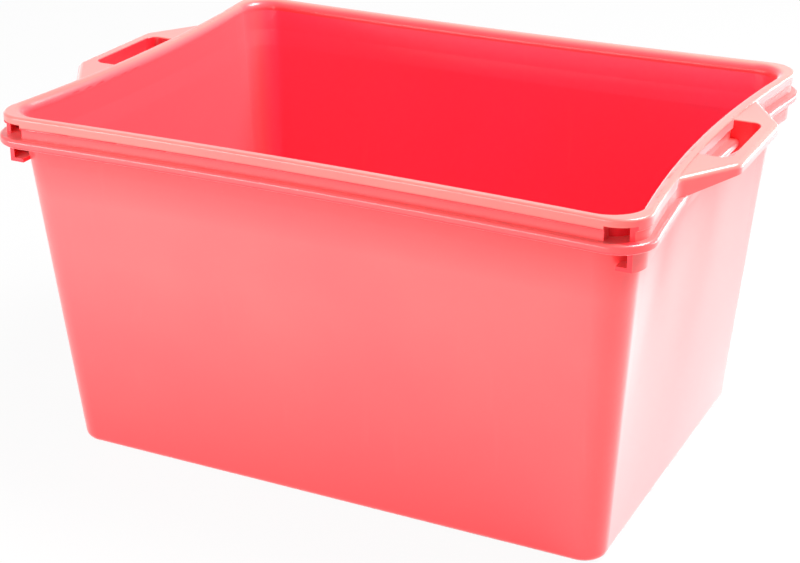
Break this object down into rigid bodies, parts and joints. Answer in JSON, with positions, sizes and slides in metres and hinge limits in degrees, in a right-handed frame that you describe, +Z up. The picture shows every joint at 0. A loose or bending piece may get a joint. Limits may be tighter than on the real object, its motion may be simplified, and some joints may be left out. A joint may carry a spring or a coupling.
{
  "type": "harvest tub",
  "caption": "Tapered solid-walled plastic tub with rounded corners, a stepped rim and a fixed loop handle at each short end, for gathering and carrying picked fruit.",
  "frame": {"origin": "middle of the base, on the face that the tub rests on", "axes": "+Z up; +X along the length from the left handle to the right one; the front is at -Y"},
  "size_m": [0.588, 0.4192, 0.3],
  "materials": {
    "tub_plastic": "satin coral-red moulded plastic"
  },
  "bodies": {
    "root": {"floor_panel": "tub_plastic", "front_wall": "tub_plastic", "back_wall": "tub_plastic", "left_end_wall": "tub_plastic", "right_end_wall": "tub_plastic", "front_left_corner": "tub_plastic", "front_right_corner": "tub_plastic", "back_left_corner": "tub_plastic", "back_right_corner": "tub_plastic", "front_rim": "tub_plastic", "back_rim": "tub_plastic", "left_handle": "tub_plastic", "right_handle": "tub_plastic", "front_rim_webs": "tub_plastic", "back_rim_webs": "tub_plastic", "left_handle_gussets": "tub_plastic", "right_handle_gussets": "tub_plastic", "left_end_skirt": "tub_plastic", "right_end_skirt": "tub_plastic"}
  },
  "joints": []
}
